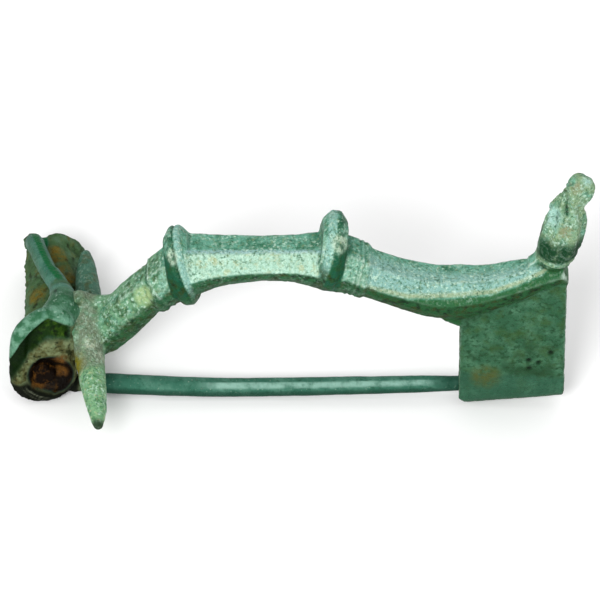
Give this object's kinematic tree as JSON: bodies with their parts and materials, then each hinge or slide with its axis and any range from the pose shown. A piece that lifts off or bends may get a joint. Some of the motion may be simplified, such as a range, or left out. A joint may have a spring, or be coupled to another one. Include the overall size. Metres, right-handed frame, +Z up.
{
  "type": "bow brooch",
  "caption": "Cast Roman bow brooch with a collared bow, knobbed foot and rolled catch, its wire spring running on into the pin, corroded green.",
  "frame": {"origin": "middle of the brooch's bounding box, on the surface that it stands on", "axes": "+X along the brooch from the spring to the knobbed foot, +Y away from the side that the picture shows, +Z up to the bow"},
  "size_m": [0.0566, 0.0306, 0.0312],
  "materials": {
    "cast_bronze": "matte green corrosion",
    "wire_bronze": "smooth dark green corrosion",
    "rusty_iron": "rough rust"
  },
  "bodies": {
    "root": {"bow": "cast_bronze", "spring_and_pin": "wire_bronze", "axis_bar": "rusty_iron"}
  },
  "joints": []
}
